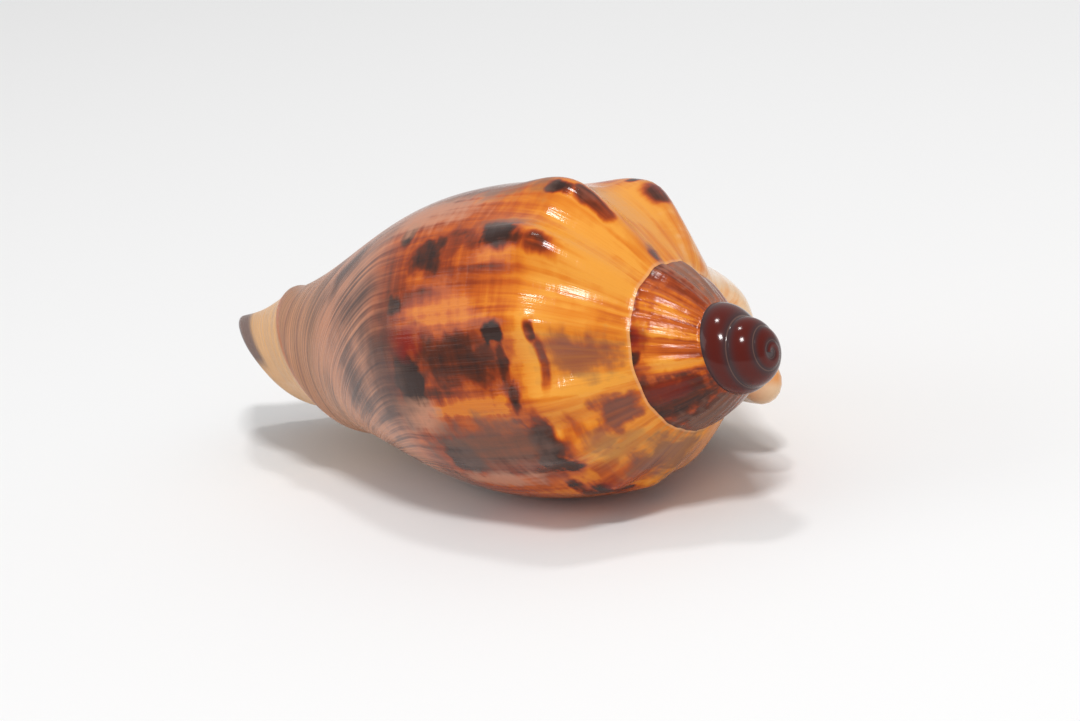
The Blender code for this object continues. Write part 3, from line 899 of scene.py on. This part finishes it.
BROWN_MARKS = (
    (4.130, 0.170, 0.028, 0.070, 0.55), (4.110, 0.090, 0.006, 0.110, 0.40),
    (4.085, 0.250, 0.008, 0.060, 0.45), (4.072, -0.830, 0.040, 0.160, 0.28),
    (4.018, 0.165, 0.025, 0.115, 1.00), (4.018, -0.560, 0.026, 0.330, 0.48),
    (3.984, 0.245, 0.012, 0.075, 0.55), (3.925, -0.720, 0.028, 0.220, 1.00),
    (3.900, 0.120, 0.040, 0.200, 0.75), (3.846, -0.220, 0.012, 0.160, 0.60),
    (3.835, -0.150, 0.034, 0.100, 0.75), (3.810, -0.300, 0.040, 0.300, 0.60),
    (3.225, -0.450, 0.050, 0.600, 0.45), (2.900, -0.450, 0.060, 0.600, 0.95),
    (2.800, -0.450, 0.070, 0.600, 0.90))
GOLD_MARKS = (
    (4.338, -0.130, 0.010, 0.060, 0.80), (4.290, -0.250, 0.036, 0.300, 0.70),
    (4.150, -0.560, 0.055, 0.380, 0.60), (4.120, 0.130, 0.010, 0.050, 0.60),
    (4.066, 0.190, 0.010, 0.130, 0.30), (4.010, -0.080, 0.030, 0.075, 1.00),
    (3.978, -0.550, 0.012, 0.300, 1.00), (3.968, 0.170, 0.009, 0.130, 1.00),
    (3.925, -0.085, 0.008, 0.050, 0.80), (3.874, -0.330, 0.018, 0.200, 0.80),
    (3.868, -0.760, 0.012, 0.220, 0.70), (3.115, -0.520, 0.014, 0.360, 0.80),
    (3.066, -0.580, 0.012, 0.440, 1.00), (2.988, -0.640, 0.014, 0.380, 1.00))
RED_MARKS = (
    (4.338, -0.180, 0.012, 0.090, 0.50), (4.040, 0.325, 0.016, 0.050, 1.00),
    (3.815, -0.120, 0.016, 0.080, 0.60), (3.048, -0.120, 0.020, 0.110, 0.80),
    (2.925, -0.400, 0.022, 0.400, 0.50))
# Grey marks are partly grey-brown colour and partly painted sheen: the greying of the lower side, the
# milky veil on the slope and a grey-mauve highlight beside a knob.
GREY_AND_SHEEN_MARKS = (
    (4.245, 0.190, 0.034, 0.170, 0.80), (4.238, -0.900, 0.014, 0.090, 0.50),
    (4.160, 0.060, 0.008, 0.060, 0.60), (4.018, -0.560, 0.026, 0.320, 0.60),
    (3.925, -0.720, 0.026, 0.200, 0.60), (3.920, 0.170, 0.030, 0.150, 0.72),
    (3.895, -0.420, 0.020, 0.150, 0.55), (3.862, -0.550, 0.026, 0.350, 0.40),
    (3.785, -0.620, 0.060, 0.330, 0.80), (3.310, -0.500, 0.070, 0.600, 0.75),
    (2.760, -0.500, 0.075, 0.600, 0.85))
SLATE_MARKS = (
    (4.195, 0.560, 0.016, 0.055, 0.75), (4.110, 0.500, 0.012, 0.080, 0.50),
    (4.020, 0.560, 0.030, 0.050, 0.50), (4.010, 0.415, 0.050, 0.060, 0.75))
SALMON_MARKS = (
    (4.200, 0.330, 0.030, 0.150, 0.85), (3.958, 0.355, 0.020, 0.070, 0.85),
    (3.862, 0.260, 0.012, 0.130, 0.75), (3.700, -0.400, 0.035, 0.450, 0.60),
    (3.290, -0.500, 0.060, 0.600, 0.50))
CREAM_MARKS = (
    (4.500, 0.030, 0.045, 0.120, 0.95), (4.470, -0.500, 0.070, 0.900, 0.95),
    (4.400, -0.700, 0.046, 0.500, 0.85))


def blend(field, share, first, second):
    """A colour between two colours."""
    made = field.node("ShaderNodeMix", {"Factor": share}, data_type="RGBA")
    for socket, colour in zip([s for s in made.inputs if s.type == "RGBA"], (first, second)):
        plug(field.tree, socket, colour)
    return [s for s in made.outputs if s.type == "RGBA"][0]


def stained(tone):
    """The colour for a depth of stain."""
    colour = STAIN[0][1]
    for (low, _), (high, after) in zip(STAIN, STAIN[1:]):
        colour = blend(tone, ((tone - low) / (high - low)).clamp(), colour, after)
    return colour


class Growth:
    """Where a point lies on the shell, with the noise and the marks that follow its growth."""

    def __init__(self, start):
        self.start = start
        self.turn, self.across = self.pair("growth")
        self.inside, self.edge = self.pair("zone")
        front = start.math("MAXIMUM", self.across - LAG_STARTS, 0.0)
        lag = LAG_TURNS * front ** LAG_POWER + END_LAG_TURNS * front ** END_LAG_POWER
        self.grown = self.turn + lag
        on_side = start.math("MAXIMUM", self.across, 0.0)
        on_slope = start.math("MINIMUM", self.across, 0.0)
        self.along = on_side * SIDE_MM + on_slope * SLOPE_MM
        self.lines = self.noise(*LINES)
        self.fine = self.noise(*FINE_LINES)
        self.spiral = self.noise(*SPIRAL)
        self.blocks = self.noise(*BLOCKS)
        self.cloud = self.noise(*CLOUD)
        self.threads = self.noise(*THREADS)
        self.late = self.turn.ramp(*LAST_WHORL)
        self.early = 1.0 - self.turn.ramp(*SMOOTH_WHORLS)
        frayed = (self.lines - 0.5) * LINES_FRAY + (self.blocks - 0.5) * BLOCKS_FRAY
        frayed = frayed + (self.spiral - 0.5) * SPIRAL_FRAY
        self.ragged = frayed + (self.cloud - 0.5) * CLOUD_FRAY

    def pair(self, name):
        """The two numbers of one of the mesh's own maps."""
        given = self.start.node("ShaderNodeUVMap", uv_map=name)
        split = self.start.node("ShaderNodeSeparateXYZ", {0: given.outputs[0]})
        return Field(self.start.tree, split.outputs[0]), Field(self.start.tree, split.outputs[1])

    def noise(self, in_a_turn, in_a_mm, seed, detail):
        spot = self.start.node("ShaderNodeCombineXYZ",
                               {0: self.grown * in_a_turn, 1: self.along * in_a_mm, 2: seed})
        made = self.start.node("ShaderNodeTexNoise",
                               {"Vector": spot.outputs[0], "Scale": 1.0, "Detail": detail})
        return Field(self.start.tree, made.outputs[0])

    def marks(self, places, fade=MARK_FADE):
        """How much a point belongs to the marks: 1 well inside one of them and 0 outside all."""
        total = None
        for turn, share, half_turn, half_share, strength in places:
            unit = SIDE_MM if share > 0 else SLOPE_MM
            off_turn = self.start.math("ABSOLUTE", self.grown - turn) / half_turn
            off_along = self.start.math("ABSOLUTE", self.along - share * unit) / (half_share * unit)
            off = (off_turn ** MARK_POWER + off_along ** MARK_POWER) ** (1 / MARK_POWER) + self.ragged
            one = (1.0 - off.ramp(1 - fade, 1 + fade)) * strength
            total = one if total is None else self.start.math("MAXIMUM", total, one)
        return total

    def blend(self, share, first, second):
        return blend(self.start, share, first, second)


def dark_blotches(at):
    """The dark marks, with blotches from noise on the sides that are turned away."""
    away = (1.0 - at.grown.ramp(*SEEN_FROM)) + at.grown.ramp(*SEEN_TO)
    others = (at.noise(*BLOTCHES) + (at.lines - 0.5) * 0.25 + (at.blocks - 0.5) * 0.2).ramp(0.53, 0.66)
    others = others * away * at.late * (1.0 - at.across.ramp(*BLOTCHES_END))
    others = others * at.across.ramp(*BLOTCHES_START)
    return at.start.math("MAXIMUM", at.marks(DARK_MARKS), others * 0.9)


def stain_depth(at, dark):
    """How deep the brown stain is: deeper on the side, in growth lines and in the marks."""
    side = at.across.ramp(*SIDE)
    depth = SLOPE_STAIN + side * SIDE_STAIN + at.across.ramp(*LOW_SIDE) * LOW_SIDE_STAIN
    depth = depth + (1.0 - at.late) * EARLIER_WHORL_STAIN + (at.lines - 0.5) * LINES_STAIN
    depth = depth + (at.spiral - 0.5) * SPIRAL_STAIN * side + (at.cloud - 0.5) * CLOUD_STAIN
    depth = depth + at.marks(BROWN_MARKS) * BROWN_STAIN + dark * DARK_STAIN
    depth = depth - at.marks(GOLD_MARKS) * GOLD_STAIN
    return at.start.math("MAXIMUM", depth, side * LEAST_SIDE_STAIN + (at.fine - 0.5) * FINE_STAIN)


def golden_body(at):
    """Golden brown, with the red, salmon and cream marks, the grey marks that are partly grey-brown
    colour and partly painted sheen, and the pale line along the seam.
    """
    dark = dark_blotches(at)
    colour = stained(stain_depth(at, dark))
    colour = at.blend(at.marks(RED_MARKS) * RED_COVER, colour, RED)
    colour = at.blend(at.marks(SALMON_MARKS), colour, SALMON)
    # This grey is partly the shell's grey-brown and partly painted sheen from the pale floor and
    # surroundings.
    grey = at.blend((at.lines + dark * 0.5).ramp(0.35, 0.75), GREY_BROWN, GREY_MAUVE)
    colour = at.blend(at.marks(GREY_AND_SHEEN_MARKS), colour, grey)
    pale = at.marks(CREAM_MARKS, SOFT_MARK_FADE) * (1.0 - dark.ramp(0.2, 0.6))
    colour = at.blend(pale, colour, at.blend(at.lines.ramp(0.4, 0.65) * 0.6, CREAM, HONEY))
    seam_line = (1.0 - at.across.ramp(*SEAM_EDGE)) * at.turn.ramp(*SEAM_TURNS)
    return at.blend(seam_line * SEAM_COVER, colour, CREAM)


def front_third(at, colour):
    """Adds the mauve and salmon front third, partly its own colour and partly painted sheen, with its
    tan part and its slate marks.
    """
    # The mauve and grey-mauve here are partly the shell's own colour and partly painted sheen: the grey
    # veil that pale surroundings lay on the glossy front at grazing angles.
    mauve = at.blend((at.threads * 0.8 + at.cloud * 0.5).ramp(0.45, 0.85), SALMON, MAUVE)
    greyer = at.threads * 0.4 + at.lines * 0.4 + at.cloud * 0.6
    mauve = at.blend(greyer.ramp(0.62, 0.84), mauve, GREY_MAUVE)
    clouded = at.across + (at.cloud - 0.5) * 0.15
    colour = at.blend(clouded.ramp(*FRONT) * FRONT_MAUVE_AND_SHEEN_COVER, colour, mauve)
    tan = at.blend((at.threads * 0.6 + at.lines * 0.4).ramp(0.38, 0.62), TAN, MAUVE)
    colour = at.blend(at.across.ramp(*TAN_PART) * TAN_COVER, colour, tan)
    return at.blend(at.marks(SLATE_MARKS, SOFT_MARK_FADE), colour, SLATE)


def front_band(at, colour):
    """Adds the honey and cream band behind the notch, the amber line beside it and its dark rim."""
    honey = at.blend(at.threads.ramp(0.35, 0.65) * 0.5, HONEY, CREAM)
    rosy = at.blend(0.5, CREAM, MAUVE)
    streaked = at.blend((at.threads * 0.5 + at.cloud * 0.7).ramp(0.50, 0.72) * 0.7, honey, rosy)
    colour = at.blend(at.across.ramp(*BAND) * BAND_COVER, colour, streaked)
    colour = at.blend(at.across.bump(*AMBER_LINE) * AMBER_COVER, colour, AMBER)
    rim = at.across.ramp(*RIM) * at.turn.ramp(*RIM_TURNS)
    return at.blend(rim * RIM_COVER, colour, RIM_GREY)


def spire_tip(at, colour):
    """Makes the smooth first whorls deep red, greyer at their seams, with a thin pale thread."""
    seams = (at.across.bump(*TIP_UPPER_SEAM) + at.across.bump(*TIP_LOWER_SEAM)).clamp()
    tip = at.blend(seams, MAROON, PURPLE)
    tip = at.blend(at.across.bump(*TIP_THREAD) * THREAD_COVER, tip, MAUVE)
    return at.blend(at.early, colour, tip)


def inside_and_lip(at, colour):
    """Makes the inside cream with orange clouds, and the lip cream with a dark notch."""
    clouds = at.inside.ramp(0.2, 1.0) * at.cloud.ramp(0.35, 0.75) * 0.6
    colour = at.blend(at.inside.ramp(0.3, 0.8), colour, at.blend(clouds, INSIDE_CREAM, INSIDE_ORANGE))
    lip_colour = at.blend(at.across.ramp(*NOTCH_LIP), CREAM, RIM_GREY)
    return at.blend(at.edge.ramp(0.1, 0.6) * LIP_COVER, colour, lip_colour)


def shell_finish():
    """The polished shell: golden brown with dark blotches, a dark spire tip and a pale inside."""
    made = bpy.data.materials.new("polished shell")
    made.use_nodes = True
    tree = made.node_tree
    shader = tree.nodes["Principled BSDF"]
    shader.inputs["Specular IOR Level"].default_value = REFLECTION
    start = Field(tree, None)
    at = Growth(start)
    colour = golden_body(at)
    for layer in (front_third, front_band, spire_tip, inside_and_lip):
        colour = layer(at, colour)
    tree.links.new(colour, shader.inputs["Base Color"])

    satin = at.across.ramp(*SATIN_PART) * 0.14 + (at.fine - 0.5) * 0.10 + (at.cloud - 0.5) * 0.08
    plug(tree, shader.inputs["Roughness"], POLISH + satin * (1.0 - at.early))
    height = (at.lines * 0.6 + at.fine * 0.3 + at.spiral * 0.5) * (1.0 - at.early)
    relief = start.node("ShaderNodeBump",
                        {"Height": height, "Distance": RELIEF_M, "Strength": RELIEF_STRENGTH})
    tree.links.new(relief.outputs[0], shader.inputs["Normal"])
    return made


# Floor, camera and lights, in metres, degrees and watts.
FLOOR_HALF = 4.0
FLOOR_COLOUR = (0.9, 0.9, 0.9, 1)
FLOOR_ROUGHNESS = 0.8
CAMERA_PLACE = (0.2544, -0.3031, 0.1485)
CAMERA_TURN_DEG = (70.82, 8.37, 36.43)
LENS_MM = 114.2
SENSOR_MM = 36.0
CLIP_START = 0.01
AIM = (0, 0, 0.015)
SKY_STRENGTH = 0.50


def floor():
    """A plain pale floor, far wider than the view."""
    made = bpy.data.materials.new("pale floor")
    made.use_nodes = True
    shader = made.node_tree.nodes["Principled BSDF"]
    shader.inputs["Base Color"].default_value = FLOOR_COLOUR
    shader.inputs["Roughness"].default_value = FLOOR_ROUGHNESS
    mesh = bpy.data.meshes.new("floor")
    corners = [(x * FLOOR_HALF, y * FLOOR_HALF, 0) for x, y in ((-1, -1), (1, -1), (1, 1), (-1, 1))]
    mesh.from_pydata(corners, [], [(0, 1, 2, 3)])
    mesh.materials.append(made)
    plane = bpy.data.objects.new("floor", mesh)
    bpy.context.scene.collection.objects.link(plane)


def camera():
    """The camera, where the photo was taken from."""
    lens = bpy.data.cameras.new("camera")
    lens.lens = LENS_MM
    lens.sensor_width = SENSOR_MM
    lens.clip_start = CLIP_START
    made = bpy.data.objects.new("camera", lens)
    made.location = CAMERA_PLACE
    made.rotation_euler = [math.radians(angle) for angle in CAMERA_TURN_DEG]
    bpy.context.scene.collection.objects.link(made)
    bpy.context.scene.camera = made


def light(name, spot, size, power):
    """A soft rectangular light that faces the middle of the shell."""
    lamp = bpy.data.lights.new(name, "AREA")
    lamp.shape = "RECTANGLE"
    lamp.size, lamp.size_y = size
    lamp.energy = power
    made = bpy.data.objects.new(name, lamp)
    made.location = spot
    made.rotation_euler = (Vector(AIM) - Vector(spot)).to_track_quat("-Z", "Y").to_euler()
    bpy.context.scene.collection.objects.link(made)


def surroundings():
    """Even white light from all round."""
    world = bpy.data.worlds.new("studio")
    bpy.context.scene.world = world
    world.use_nodes = True
    sky = world.node_tree.nodes["Background"]
    sky.inputs["Color"].default_value = (1, 1, 1, 1)
    sky.inputs["Strength"].default_value = SKY_STRENGTH


bpy.context.scene.view_settings.view_transform = "Standard"
shell = wound_shell(shell_finish())
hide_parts("shell")
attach(shell, "root")
floor()
surroundings()
light("key light", (0.28, -0.24, 0.70), (0.13, 0.11), 2.6)
light("back light", (-0.08, 0.16, 0.78), (0.10, 0.08), 1.0)
light("side light", (-0.70, -0.50, 0.45), (0.6, 0.5), 1.2)
camera()
